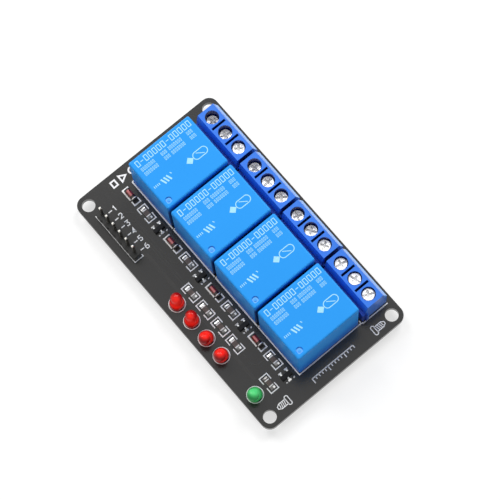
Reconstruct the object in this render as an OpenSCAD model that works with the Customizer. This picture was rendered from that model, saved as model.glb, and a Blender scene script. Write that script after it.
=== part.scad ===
// Four-channel relay board: four sealed relays with their working parts, four three-pole
// screw terminal blocks with rising clamps, a six-pin header, indicator lamps and drivers.
// Frame: +Z up, +X along the row of relays, +Y from the header side towards the terminals.
// The origin lies under the middle of the board, level with the ends of the cut pins.

/* [Board] */
// Thickness of the board
board_t = 1.6; // [1:0.1:2.4]
// Height of the board's underside, which is how far the longest pins stand out below it
lift = 2; // [1.8:0.1:3]
// Corner radius of the board
corner_r = 2.5; // [1:0.5:5]
// Mounting hole diameter
hole_d = 3.4; // [2.2:0.1:3.6]
// Mounting hole centre to both board edges
hole_inset = 2.8; // [2.6:0.1:3.3]
// Board edge to the first relay
left_margin = 5.25; // [5.25:0.25:10]
// Last relay to the opposite board edge
right_margin = 6.3; // [6.3:0.1:12]
// Header edge of the board to the relays
front_margin = 15.2; // [15.2:0.2:20]
// Terminal blocks to the far board edge
back_margin = 1.7; // [1:0.1:6]

/* [Relay] */
// Width of a relay, along the row
relay_w = 15.4; // [15:0.1:17]
// Length of a relay, across the row
relay_l = 19.1; // [18.8:0.1:21]
// Height of a relay above the board
relay_h = 15.3; // [14.5:0.1:18]
// Space between two channels, at their widest piece
channel_gap = 0.95; // [0.65:0.05:4]
// Wall of the relay cover
case_wall = 0.8; // [0.6:0.1:1]
// Rounding of the cover's edges
case_r = 0.5; // [0.2:0.1:0.6]
// Gap between the cover's lower edge and the board
case_rise = 0.25; // [0.1:0.05:0.4]
// Diameter of the vent mark on the cover
vent_d = 1.8; // [1:0.1:2.4]
// Depth of the vent mark
vent_depth = 0.35; // [0.2:0.05:0.5]
// Vent mark centre to both sides of the cover
vent_inset = 1.7; // [1.6:0.1:3]
// Thickness of the relay's base plate
base_t = 1.5; // [1:0.1:2]
// Height of the base plate's feet
foot_h = 0.4; // [0.4:0.05:0.8]
// Side of the relay to its coil pins and contact pins
relay_pin_inset = 1.7; // [1.5:0.05:2.2]
// Coil end of the relay to the common pin
com_y = 2.45; // [2.2:0.05:2.8]
// Common pin to the row of coil pins
com_to_coil = 2; // [1.8:0.1:2.4]
// Contact pins to the contact end of the relay
contact_end = 2.45; // [2.2:0.05:2.6]
// Relay pin blade: width
blade_w = 1; // [0.6:0.1:1.1]
// Relay pin blade: thickness
blade_t = 0.4; // [0.3:0.05:0.6]

/* [Relay works] */
// Thickness of the yoke and of its upright leg
yoke_t = 1; // [0.8:0.1:1.2]
// Width of the yoke and of the armature
yoke_w = 8; // [6:0.5:9]
// Side of the coil former's square flanges
flange_s = 9.2; // [8.4:0.1:9.4]
// Thickness of the coil former's flanges
flange_t = 0.7; // [0.5:0.1:1]
// Radius of the iron core
core_r = 2; // [1.5:0.1:2.2]
// Radius of the core's pole face
pole_r = 3.2; // [2.8:0.1:3.8]
// Height of the core's pole face
pole_t = 0.6; // [0.4:0.1:0.8]
// Wall of the coil former's tube
tube_wall = 0.55; // [0.4:0.05:0.8]
// Depth of the copper winding
winding_t = 1.7; // [1:0.1:1.9]
// Thickness of the armature
armature_t = 0.8; // [0.6:0.1:1]
// Swing of the armature, in degrees
armature_swing = 3.5; // [2:0.5:4]
// Thickness of the contact spring
spring_t = 0.2; // [0.15:0.05:0.3]
// Width of the contact spring
spring_w = 2.4; // [1.8:0.2:4]
// Radius of a contact button
button_r = 0.8; // [0.5:0.1:0.9]
// Height of a contact button
button_h = 0.32; // [0.2:0.02:0.4]
// Width of the fixed contacts' arms
arm_w = 1.6; // [1.4:0.1:1.8]

/* [Terminal block] */
// Spacing of the poles
pole_pitch = 5.08; // [5:0.04:5.2]
// Housing beyond the outer poles' half spacing
tb_end = 0.08; // [0.05:0.01:0.3]
// Depth of the housing, from its rear to the wire side
tb_d = 7.7; // [7.6:0.1:9]
// Height of the housing
tb_h = 10.2; // [10.2:0.1:12]
// Gap between the relays and the terminal blocks
tb_gap = 1.1; // [0.6:0.1:4]
// Sideways offset of each block from its relay
tb_shift = 0.15; // [0.15:0.05:0.4]
// Height of the upright lower part of the wire side
front_h = 6.4; // [5.8:0.1:7]
// Set-back of the top's edge from the wire side
front_in = 1.3; // [0.8:0.1:1.4]
// Height of the step on the rear side
rear_step_h = 5.5; // [5.2:0.1:6]
// Depth of the step on the rear side
rear_step = 0.9; // [0.4:0.1:1.2]
// Height at which the rear side starts to lean in
rear_lean_h = 7.6; // [7:0.1:8.5]
// Set-back of the top's edge from the rear
rear_in = 1.5; // [1.2:0.1:1.6]
// Diameter of the screw wells
well_d = 3.6; // [3.5:0.05:3.8]
// Width of the slots between the poles
slot_w = 0.65; // [0.4:0.05:0.7]
// Length of the slots between the poles
slot_l = 4.1; // [3:0.1:4.3]
// Depth of the slots between the poles
slot_depth = 4; // [1:0.5:4.5]
// Width of a wire opening
entry_w = 3.3; // [2.6:0.1:3.4]
// Height of a wire opening
entry_h = 3.3; // [2.6:0.1:3.4]
// Margin of the shallow recess round a wire opening
entry_lip = 0.35; // [0.2:0.05:0.5]
// Depth of the recess round a wire opening
entry_recess = 0.3; // [0.1:0.05:0.5]
// Height of the dovetail tongue that stands out at one end
tongue_h = 5.3; // [3:0.1:5.5]
// Width of the dovetail tongue
tongue_w = 0.75; // [0.5:0.05:0.8]
// How far the dovetail tongue stands out
tongue_out = 0.5; // [0.3:0.05:0.55]

/* [Clamp] */
// Height of the clamp cage's underside above the board
cage_z = 0.8; // [0.4:0.1:1]
// Width of a clamp cage
cage_w = 3.9; // [3.7:0.05:4]
// Depth of a clamp cage
cage_d = 4.8; // [4:0.1:4.8]
// Height of a clamp cage
cage_h = 4.3; // [4.2:0.05:4.4]
// Clamp cage's middle ahead of its screw, towards the wire side
cage_shift = 0.3; // [0:0.05:0.4]
// Wall of a clamp cage
cage_t = 0.6; // [0.5:0.05:0.7]
// Side of a terminal's solder pin
tb_pin = 0.9; // [0.7:0.05:1]
// Thickness of a wire guard
guard_t = 0.4; // [0.3:0.05:0.5]
// Depth of the grip grooves under a wire guard
grip_depth = 0.12; // [0.05:0.01:0.15]
// Diameter of a clamp screw's thread
screw_d = 2.5; // [2:0.1:2.8]
// Diameter of a clamp screw's head
head_d = 3.25; // [3:0.05:3.3]
// Height of a clamp screw's head
head_h = 1.7; // [1.4:0.1:1.8]
// Width of the slot in a clamp screw
drive_slot_w = 0.55; // [0.4:0.05:0.7]
// Depth of the slot in a clamp screw
drive_slot_h = 0.6; // [0.4:0.05:0.8]
// Length of each arm of the cross recess, tip to tip
cross_l = 2.2; // [1.8:0.1:2.4]
// Depth of the cross recess
cross_h = 1.1; // [0.8:0.1:1.2]
// Depth of each screw head below the housing's top, from the first pole to the last
screw_depths = [3.1, 2.4, 1.3, 2.6, 1.7, 2.0, 2.2, 1.9, 1.3, 1.1, 0.8, 0.8];
// Turn of each screw slot, in degrees
screw_turns = [20, 75, 140, 10, 100, 55, 160, 35, 120, 80, 15, 65];

/* [Header] */
// Spacing of the header pins
header_pitch = 2.54; // [2.5:0.02:2.6]
// Board edge to the first header pin
header_x = 7.6; // [7.6:0.1:12]
// Header edge of the board to the header pins
header_y = 3.65; // [2:0.05:4]
// Side of a header pin
header_pin = 0.64; // [0.5:0.02:0.7]
// Height of a header pin above its strip
header_pin_up = 6; // [5:0.1:9]
// How far the header pins stand out below the board
header_pin_down = 1.5; // [1.2:0.1:1.8]
// Height of the header strip
strip_h = 2.54; // [2:0.02:3]
// Corner cut of the header strip's sections
strip_cut = 0.4; // [0.2:0.05:0.6]

/* [Lamps] */
// Board edge to the first red lamp
led_x = 36.8; // [30:0.1:37]
// Spacing of the red lamps
led_pitch = 5.7; // [5:0.1:6.2]
// Last red lamp to the green lamp
green_gap = 12.85; // [6:0.05:13]
// Header edge of the board to the lamps
led_y = 3.55; // [2.5:0.05:4]
// Diameter of a lamp's lens
led_d = 3; // [2.6:0.1:3.2]
// Diameter of a lamp's flange
flange_d = 3.8; // [3.4:0.1:4.2]
// Height of a lamp's flange
led_flange_h = 1; // [0.6:0.1:1.2]
// Height of a lamp
led_h = 5.3; // [4.5:0.1:6]
// Spacing of a lamp's leads
lead_pitch = 2.54; // [2:0.02:2.6]
// Side of a lamp's lead
lead_s = 0.5; // [0.4:0.02:0.6]
// Lean of each lamp, in degrees, the green one last
led_lean = [7, 6, 15, 14, 15];
// Compass angle each lamp leans to, measured from +X
led_lean_dir = [135, 135, -60, -55, -65];

/* [Surface parts] */
// Row of drivers to the relays
driver_row = 2.65; // [2.2:0.05:3.2]
// Relay's side to its diode's centre
diode_x = 2.4; // [1.9:0.1:3]
// Relay's side to its resistor's centre
driver_r_x = 8.62; // [8:0.1:9]
// Relay's side to its transistor's centre
transistor_x = 13.75; // [13:0.05:14]
// Header edge of the board to the lamps' resistors
lamp_r_y = 8; // [7.4:0.1:8.6]
// Length of a resistor
chip_l = 2; // [1.6:0.1:2.2]
// Width of a resistor
chip_w = 1.25; // [0.8:0.05:1.4]
// Height of a resistor
chip_h = 0.5; // [0.4:0.05:0.65]
// Length of a resistor's metal end
chip_end = 0.35; // [0.2:0.05:0.45]
// Radius of a diode's metal cap
diode_r = 0.78; // [0.6:0.02:0.85]
// Length of a diode
diode_l = 3.4; // [3:0.1:3.6]
// Length of a diode's metal cap
diode_cap = 0.42; // [0.3:0.02:0.5]
// Length of a transistor's body
sot_l = 2.9; // [2.8:0.05:3]
// Width of a transistor's body
sot_w = 1.3; // [1.2:0.05:1.4]
// Height of a transistor
sot_h = 1.05; // [0.9:0.05:1.2]
// Spread of a transistor's leads, tip to tip
sot_span = 2.4; // [2.3:0.05:2.6]
// Thickness of the tinned pads
pad_t = 0.06; // [0.04:0.01:0.1]
// Radius of the solder cone's foot under a pin
joint_r = 0.95; // [0.85:0.05:1.1]
// Height of the solder cone under a pin
joint_h = 1.1; // [0.8:0.1:1.4]

/* [Hidden] */
$fn = 64;
eps = 0.01;
channels = 4;
poles = 3;
header_pins_n = 6;
top = lift + board_t;
tb_len = poles*pole_pitch + 2*tb_end;
channel_w = max(relay_w, tb_len);
channel_pitch = channel_w + channel_gap;
board_l = left_margin + (channels - 1)*channel_pitch + channel_w + right_margin;
board_w = front_margin + relay_l + tb_gap + tb_d + back_margin;
tb_y = front_margin + relay_l + tb_gap;

// relay works, measured up from the board and from the relay's coil end
case_play = 0.05;                        // cover to base, all round
touch_gap = 0.05;                        // free gap between two contacts or poles
base_top = foot_h + base_t;
coil_pin_y = com_y + com_to_coil;
contact_pin_y = relay_l - contact_end;
relay_pin_dx = relay_w/2 - relay_pin_inset;
contact_y = contact_pin_y - 0.65;        // the arms bend in from the pins
pivot_y = case_wall + 0.7;
coil_y = pivot_y + yoke_t + 0.4 + flange_s/2;
coil_z = base_top + yoke_t;
roof_z = relay_h - case_wall;
fixed_t = 0.35;                          // thickness of the fixed contacts' arms
nc_z = roof_z - 0.15 - fixed_t;
nc_face = nc_z - button_h;
swing_rise = (contact_y + button_r - pivot_y)*sin(armature_swing);
armature_z = nc_face - touch_gap - swing_rise - button_h - spring_t - armature_t;
no_face = armature_z + armature_t - button_h - touch_gap;
no_z = no_face - button_h - fixed_t;
pole_top = armature_z - touch_gap;
flange_top = pole_top - pole_t;
coil_pin_up = coil_z + 1;

// terminal blocks, measured from the housing's rear and up from the board
top_front = tb_d - front_in;
well_y = (rear_in + top_front)/2;
cage_play = 0.05;
cage_mid = well_y + cage_shift;
cage_floor = cage_z + cage_t;
cage_top = cage_z + cage_h;
entry_z = cage_floor - 0.1;
tip_play = 0.02;
guard_low = cage_floor + 0.05 + guard_t;          // top of a fully lowered guard
depth_max = tb_h - head_h - cage_top - 0.1;       // screw head just above its cage
shank_l = tb_h - depth_max - head_h - guard_low - tip_play;
thread_play = 0.04;
tongue_y = rear_step + 0.3;
tongue_flare = 0.1;
tongue_play = 0.05;

led_n = channels + 1;
sot_lead_w = 0.4;
sot_lead_t = 0.15;
sot_pitch = 1.9;
driver_y = front_margin - driver_row;
diode_seat = pad_t + diode_r;
hole_play = 0.15;                        // pin to its hole in the board

// A point on the board's upper face, measured from its left and header edges.
module on_board(x, y) translate([x - board_l/2, y - board_w/2, top]) children();

// Puts its child at each relay, or at relay i only; the child's origin is the middle of
// the relay's coil end, on the board.
module at_relay(i) on_board(left_margin + i*channel_pitch + channel_w/2, front_margin) children();
module at_relays() for (i = [0:channels-1]) at_relay(i) children();

// The child's origin is the middle of a terminal block's rear edge, on the board.
module at_block(i)
  on_board(left_margin + i*channel_pitch + channel_w/2 + tb_shift, tb_y) children();

// The child's origin is the axis of a pole, at the block's rear edge, on the board.
module at_pole(n) at_block(floor(n/poles))
  translate([(n % poles - (poles - 1)/2)*pole_pitch, 0, 0]) children();

function led_at(i) = led_x + (i < channels ? i*led_pitch : (channels - 1)*led_pitch + green_gap);

// Rectangle about the origin with rounded corners.
module round_rect(l, w, r) {
  square([l - 2*r, w], center = true);
  square([l, w - 2*r], center = true);
  for (x = [-1, 1], y = [-1, 1]) translate([x*(l/2 - r), y*(w/2 - r)]) circle(r);
}

// Box standing on z = 0, about the Z axis.
module block(l, w, h) translate([-l/2, -w/2, 0]) cube([l, w, h]);

// Prism along X of a profile given as [y, z] points.
module prism_x(l, pts) translate([-l/2, 0, 0]) rotate([90, 0, 90]) linear_extrude(l) polygon(pts);

// Prism along Y of a profile given as [x, z] points.
module prism_y(w, pts) translate([0, w/2, 0]) rotate([90, 0, 0]) linear_extrude(w) polygon(pts);

// ---- circuit board ------------------------------------------------------------------

// Puts its child at every place where a pin of one kind passes through the board.
module at_header_pins() for (i = [0:header_pins_n-1])
  on_board(header_x + i*header_pitch, header_y) children();
module at_led_leads() for (i = [0:led_n-1], s = [-1, 1])
  on_board(led_at(i) + s*lead_pitch/2, led_y) children();
module at_relay_pins() at_relays() {
  translate([0, com_y, 0]) children();
  for (s = [-1, 1], y = [coil_pin_y, contact_pin_y]) translate([s*relay_pin_dx, y, 0]) children();
}
module at_terminal_pins() for (n = [0:channels*poles-1]) at_pole(n) translate([0, well_y, 0]) children();

module board_hole(d) translate([0, 0, -board_t - eps]) cylinder(d = d, h = board_t + 2*eps);

module circuit_board() color([0.13, 0.13, 0.13]) difference() {
  translate([0, 0, lift]) linear_extrude(board_t) round_rect(board_l, board_w, corner_r);
  for (x = [hole_inset, board_l - hole_inset], y = [hole_inset, board_w - hole_inset])
    on_board(x, y) board_hole(hole_d);
  at_header_pins() board_hole(header_pin*sqrt(2) + hole_play);
  at_led_leads() board_hole(lead_s*sqrt(2) + hole_play);
  at_relay_pins() board_hole(norm([blade_w, blade_t]) + hole_play);
  at_terminal_pins() board_hole(tb_pin*sqrt(2) + hole_play);
}

// ---- terminal blocks ----------------------------------------------------------------

// Plan of the dovetail that locks two blocks side by side, standing out along +X.
module dovetail(play) polygon([[-eps, -tongue_w/2 + tongue_flare - play],
  [tongue_out + play, -tongue_w/2 - play], [tongue_out + play, tongue_w/2 + play],
  [-eps, tongue_w/2 - tongue_flare + play]]);

// Opening for a wire, seen from the wire side, with a shallow recess round it.
module wire_entry() translate([0, tb_d + eps, entry_z + entry_h/2]) rotate([90, 0, 0]) {
  linear_extrude(tb_d - cage_mid - cage_d/2 + 2*eps) round_rect(entry_w, entry_h, 0.4);
  linear_extrude(entry_recess + eps)
    round_rect(entry_w + 2*entry_lip, entry_h + 2*entry_lip, 0.6);
}

module terminal_body(i) color([0.05, 0.2, 0.8]) at_block(i) {
  difference() {
    prism_x(tb_len, [[0, 0], [tb_d, 0], [tb_d, front_h], [top_front, tb_h], [rear_in, tb_h],
                     [rear_step, rear_lean_h], [rear_step, rear_step_h], [0, rear_step_h]]);
    for (k = [0:poles-1]) translate([(k - (poles - 1)/2)*pole_pitch, 0, 0]) {
      translate([0, well_y, cage_top]) cylinder(d = well_d, h = tb_h);
      translate([0, cage_mid, -eps])
        block(cage_w + 2*cage_play, cage_d + 2*cage_play, cage_top + cage_play + eps);
      wire_entry();
    }
    for (s = [-1, 1]) translate([s*pole_pitch/2, well_y, tb_h - slot_depth])
      block(slot_w, slot_l, slot_depth + eps);
    translate([-tb_len/2, tongue_y, -eps])
      linear_extrude(tongue_h + tongue_play) dovetail(tongue_play);
  }
  translate([tb_len/2, tongue_y, 0]) linear_extrude(tongue_h) dovetail(0);
}

// Folded cages with a threaded roof and a solder pin, one for each pole.
module terminal_cages() color([0.8, 0.78, 0.7]) for (n = [0:channels*poles-1]) at_pole(n) {
  difference() {
    translate([0, cage_mid, cage_z]) block(cage_w, cage_d, cage_h);
    translate([0, cage_mid, cage_floor])
      block(cage_w - 2*cage_t, cage_d + 2*eps, cage_h - 2*cage_t);
    translate([0, well_y, cage_floor]) cylinder(d = screw_d + 2*thread_play, h = cage_h);
  }
  translate([0, well_y, -board_t - lift]) block(tb_pin, tb_pin, board_t + lift + cage_z + eps);
}

// How far pole n's clamp stands above its lowest position.
function clamp_rise(n) = depth_max - screw_depths[n];

// Leaf that is pressed on the wire, with grip grooves across its underside.
module wire_guard(n) color([0.85, 0.85, 0.8]) at_pole(n)
  translate([0, cage_mid, guard_low - guard_t + clamp_rise(n)]) difference() {
    block(cage_w - 2*cage_t - 4*cage_play, cage_d - 4*cage_play, guard_t);
    for (j = [-2:2]) translate([0, 0.6*j, 0]) prism_x(cage_w,
      [[-grip_depth, -eps], [0, grip_depth], [grip_depth, -eps]]);
  }

// Screw with a slot across its head and a deeper cross in the middle.
module clamp_screw(n) color([0.85, 0.85, 0.87]) at_pole(n)
  translate([0, well_y, guard_low + tip_play + clamp_rise(n)]) difference() {
    bevel = 0.15;
    union() {
      cylinder(d1 = screw_d - 4*bevel, d2 = screw_d, h = 2*bevel);
      translate([0, 0, 2*bevel]) cylinder(d = screw_d, h = shank_l - 2*bevel);
      translate([0, 0, shank_l]) cylinder(d = head_d, h = head_h - bevel);
      translate([0, 0, shank_l + head_h - bevel])
        cylinder(d1 = head_d, d2 = head_d - 2*bevel, h = bevel);
    }
    translate([0, 0, shank_l + head_h]) rotate([0, 0, screw_turns[n]]) {
      translate([0, 0, -drive_slot_h]) block(head_d + 1, drive_slot_w, head_h);
      for (a = [0, 90]) rotate([0, 0, a])
        translate([0, 0, -cross_h]) block(cross_l, drive_slot_w*1.1, head_h);
    }
  }

// ---- relays -------------------------------------------------------------------------

// Moulded cover, open at the bottom, with a sealed vent mark by one corner.
module relay_case(i) color([0.1, 0.45, 0.95]) at_relay(i) difference() {
  hull() for (x = [-1, 1], y = [-1, 1])
    translate([x*(relay_w/2 - case_r), relay_l/2 + y*(relay_l/2 - case_r), 0]) {
      translate([0, 0, case_rise]) cylinder(r = case_r, h = case_r, $fn = 32);
      translate([0, 0, relay_h - case_r]) sphere(r = case_r, $fn = 32);
    }
  translate([0, relay_l/2, case_rise - eps])
    block(relay_w - 2*case_wall, relay_l - 2*case_wall, roof_z - case_rise + eps);
  translate([relay_w/2 - vent_inset, vent_inset, relay_h - vent_depth]) difference() {
    cylinder(d = vent_d, h = vent_depth + eps);
    cylinder(d = vent_d/2.5, h = vent_depth*0.6);
  }
}

// Openings that a relay's five pins pass through, and the pins' own section.
module relay_blade(h) block(blade_w, blade_t, h);

module relay_bases() color([0.08, 0.1, 0.12]) at_relays() difference() {
  union() {
    translate([0, relay_l/2, foot_h])
      block(relay_w - 2*case_wall - 2*case_play, relay_l - 2*case_wall - 2*case_play, base_t);
    for (x = [-1, 1], y = [-1, 1])
      translate([x*(relay_w/2 - 2.6), relay_l/2 + y*(relay_l/2 - 1.9), 0]) cylinder(r = 0.6, h = foot_h + eps);
  }
  translate([0, com_y, -eps]) relay_blade(relay_h);
  for (s = [-1, 1], y = [coil_pin_y, contact_pin_y])
    translate([s*relay_pin_dx, y, -eps]) relay_blade(relay_h);
}

// Fixed contact: pin, upright and an arm along X that carries a button over the middle.
module fixed_contact(side, arm_z, button_z) {
  translate([side*relay_pin_dx, contact_pin_y, -board_t - lift]) relay_blade(board_t + lift + arm_z + fixed_t);
  translate([side > 0 ? -button_r : -relay_pin_dx - blade_w/2, contact_y - arm_w/2, arm_z])
    cube([relay_pin_dx + blade_w/2 + button_r, arm_w, fixed_t]);
  translate([0, contact_y, button_z]) cylinder(r = button_r, h = button_h + eps);
}

module relay_pins() color([0.8, 0.75, 0.6]) at_relays() {
  translate([0, com_y, -board_t - lift]) relay_blade(board_t + lift + base_top);
  for (s = [-1, 1]) translate([s*relay_pin_dx, coil_pin_y, -board_t - lift])
    relay_blade(board_t + lift + coil_pin_up);
  fixed_contact(1, no_z, no_z + fixed_t - eps);
  fixed_contact(-1, nc_z, nc_face);
}

// L-shaped iron yoke: a leg under the coil and an upright whose top edge holds the armature.
module relay_yokes() color([0.55, 0.56, 0.58]) at_relays()
  prism_x(yoke_w, [[pivot_y, base_top], [coil_y + flange_s/2, base_top], [coil_y + flange_s/2, coil_z],
    [pivot_y + yoke_t, coil_z], [pivot_y + yoke_t, pole_top], [pivot_y, pole_top]]);

module relay_cores() color([0.6, 0.6, 0.62]) at_relays() translate([0, coil_y, coil_z]) {
  cylinder(r = core_r, h = pole_top - coil_z);
  translate([0, 0, flange_top - coil_z]) cylinder(r = pole_r, h = pole_t);
}

module relay_bobbins() color([0.85, 0.83, 0.78]) at_relays() translate([0, coil_y, coil_z]) difference() {
  union() {
    block(flange_s, flange_s, flange_t);
    translate([0, 0, flange_top - coil_z - flange_t]) block(flange_s, flange_s, flange_t);
    cylinder(r = core_r + tube_wall, h = flange_top - coil_z);
  }
  translate([0, 0, -eps]) cylinder(r = core_r, h = relay_h);
}

module relay_windings() color([0.75, 0.35, 0.15]) at_relays() translate([0, coil_y, coil_z + flange_t]) difference() {
  cylinder(r = core_r + tube_wall + winding_t, h = flange_top - coil_z - 2*flange_t);
  translate([0, 0, -eps]) cylinder(r = core_r + tube_wall, h = relay_h);
}

// Clapper with its contact spring, resting against the upper contact.
module relay_armature(i) color([0.65, 0.65, 0.67]) at_relay(i)
  translate([0, pivot_y, armature_z]) rotate([armature_swing, 0, 0]) {
    reach = contact_y - pivot_y;
    translate([-yoke_w/2, 0, 0]) cube([yoke_w, coil_y + pole_r - pivot_y, armature_t]);
    translate([-spring_w/2, 0.8, armature_t - eps]) cube([spring_w, reach + button_r - 0.8, spring_t + eps]);
    translate([0, reach, armature_t - button_h]) cylinder(r = button_r, h = 2*button_h + spring_t);
  }

// ---- header -------------------------------------------------------------------------

module header_strip() color([0.06, 0.06, 0.06]) difference() {
  c = header_pitch/2;
  at_header_pins() linear_extrude(strip_h) polygon([[-c, -c + strip_cut], [-c + strip_cut, -c],
    [c - strip_cut, -c], [c, -c + strip_cut], [c, c - strip_cut], [c - strip_cut, c],
    [-c + strip_cut, c], [-c, c - strip_cut]]);
  at_header_pins() translate([0, 0, -eps]) block(header_pin, header_pin, strip_h + 1);
}

// Side view of a pin with both tips tapered, from z0 to z1.
function pin_profile(z0, z1) = let (h = header_pin/2, t = header_pin/4, l = header_pin/2)
  [[-t, z0], [t, z0], [h, z0 + l], [h, z1 - l], [t, z1], [-t, z1], [-h, z1 - l], [-h, z0 + l]];

module header_pins() color([0.85, 0.8, 0.6]) at_header_pins() {
  pts = pin_profile(-board_t - header_pin_down, strip_h + header_pin_up);
  intersection() {
    prism_x(header_pin, pts);
    prism_y(header_pin, pts);
  }
}

// ---- lamps --------------------------------------------------------------------------

// Moves its child to lamp i, tipped about its middle and lifted so its low rim stays seated.
module lean_lamp(i) on_board(led_at(i), led_y) translate([0, 0, flange_d/2*sin(led_lean[i])])
  rotate([0, 0, led_lean_dir[i]]) rotate([0, led_lean[i], 0]) rotate([0, 0, -led_lean_dir[i]]) children();

// Lens with a domed top and a flange that is flat on one side.
module lamp(i) lean_lamp(i) {
  r = led_d/2;
  difference() {
    cylinder(d = flange_d, h = led_flange_h);
    translate([r + 0.2, -flange_d/2, -eps]) cube([flange_d, flange_d, led_flange_h + 2*eps]);
  }
  translate([0, 0, led_flange_h - eps]) cylinder(r = r, h = led_h - r - led_flange_h + eps);
  translate([0, 0, led_h - r]) difference() {
    sphere(r);
    translate([0, 0, -2*r]) block(4*r, 4*r, 2*r);
  }
}

module red_led(i) color([0.9, 0.1, 0.08]) lamp(i);
module green_led() color([0.3, 0.8, 0.4]) lamp(led_n - 1);

// Cut leads, from below the board to the underside of each lens.
module led_leads() color([0.8, 0.8, 0.8]) for (i = [0:led_n-1]) difference() {
  for (s = [-1, 1]) on_board(led_at(i) + s*lead_pitch/2, led_y)
    translate([0, 0, -board_t - lift + 0.3]) block(lead_s, lead_s, board_t + lift + 2);
  lean_lamp(i) block(3*flange_d, 3*flange_d, 2*led_h);
}

// ---- surface parts ------------------------------------------------------------------

// Each resistor: four drivers beside the relays, then one beside every lamp.
module at_resistors() {
  for (i = [0:channels-1]) on_board(left_margin + i*channel_pitch + driver_r_x, driver_y) children();
  for (i = [0:led_n-1]) on_board(led_at(i), lamp_r_y) children();
}
module at_diodes() for (i = [0:channels-1])
  on_board(left_margin + i*channel_pitch + diode_x, driver_y) children();
module at_transistors() for (i = [0:channels-1])
  on_board(left_margin + i*channel_pitch + transistor_x, driver_y - 0.15) children();

module resistor_bodies() color([0.12, 0.12, 0.12]) at_resistors()
  translate([0, 0, pad_t]) block(chip_l - 2*chip_end, chip_w, chip_h);

module resistor_ends() color([0.85, 0.85, 0.85]) at_resistors()
  for (s = [-1, 1]) translate([s*(chip_l - chip_end)/2, 0, pad_t]) block(chip_end, chip_w, chip_h);

module diode_glass() color([0.7, 0.2, 0.15]) at_diodes() translate([0, 0, diode_seat])
  rotate([0, 90, 0]) cylinder(r = diode_r - 0.06, h = diode_l - 2*diode_cap, center = true);

module diode_caps() color([0.8, 0.8, 0.8]) at_diodes() for (s = [-1, 1])
  translate([s*(diode_l - diode_cap)/2, 0, diode_seat])
    rotate([0, 90, 0]) cylinder(r = diode_r, h = diode_cap, center = true);

module transistor_bodies() color([0.05, 0.05, 0.05]) at_transistors() {
  low = 0.1; mid = sot_h/2; draft = 0.12; h = sot_w/2;
  prism_y(sot_l, [[-h + draft, low], [h - draft, low], [h, mid], [h - draft, sot_h],
                  [-h + draft, sot_h], [-h, mid]]);
}

// Gull-wing lead along +X, as a side view that starts at the body.
function gull() = let (x0 = sot_w/2, x1 = sot_span/2, z = sot_h/2, t = sot_lead_t)
  [[x0, z - t/2], [x0 + 0.1, z - t/2], [x0 + 0.2, pad_t], [x1, pad_t], [x1, pad_t + t],
   [x0 + 0.2 + t, pad_t + t], [x0 + 0.1 + t, z + t/2], [x0, z + t/2]];

// Two leads on the first side and one on the other.
module at_sot_leads() at_transistors() {
  for (s = [-1, 1]) translate([0, s*sot_pitch/2, 0]) mirror([1, 0, 0]) children();
  children();
}

module transistor_leads() color([0.8, 0.8, 0.8]) at_sot_leads() prism_y(sot_lead_w, gull());

// Cone under the board round a pin, with the pin's own section left out.
module cone_joint(l, w) translate([0, 0, -board_t]) difference() {
  translate([0, 0, -joint_h]) cylinder(r1 = 0.6*joint_r, r2 = joint_r, h = joint_h);
  translate([0, 0, -joint_h - eps]) block(l, w, joint_h + 2*eps);
}

// Wedge of solder at the end of a part, from height h at x = 0 down to a pad's edge at x = l.
module wedge_joint(l, w, h) prism_y(w, [[0, 0], [l, 0], [l, pad_t], [0, h]]);

module solder_joints() color([0.85, 0.85, 0.87]) {
  at_header_pins() cone_joint(header_pin, header_pin);
  at_led_leads() cone_joint(lead_s, lead_s);
  at_relay_pins() cone_joint(blade_w, blade_t);
  at_terminal_pins() cone_joint(tb_pin, tb_pin);
  at_resistors() for (s = [0, 1]) mirror([s, 0, 0]) {
    translate([chip_l/2, 0, 0]) wedge_joint(0.75, chip_w, 0.8*chip_h);
    translate([chip_l/2 - chip_end/2, 0, 0]) block(chip_end, chip_w, pad_t);
  }
  at_diodes() for (s = [0, 1]) mirror([s, 0, 0])
    translate([diode_l/2, 0, 0]) wedge_joint(0.45, 1.4*diode_r, diode_r);
  at_sot_leads() translate([sot_span/2, 0, 0]) wedge_joint(0.4, 0.9, 0.35);
}

circuit_board();
for (i = [0:channels-1]) {
  terminal_body(i);
  relay_case(i);
  relay_armature(i);
  red_led(i);
}
for (n = [0:channels*poles-1]) {
  clamp_screw(n);
  wire_guard(n);
}
terminal_cages();
relay_bases();
relay_pins();
relay_yokes();
relay_cores();
relay_bobbins();
relay_windings();
header_strip();
header_pins();
green_led();
led_leads();
diode_glass();
diode_caps();
transistor_bodies();
transistor_leads();
resistor_bodies();
resistor_ends();
solder_joints();
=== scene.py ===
import bpy
import numpy as np
from mathutils import Matrix, Vector


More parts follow.
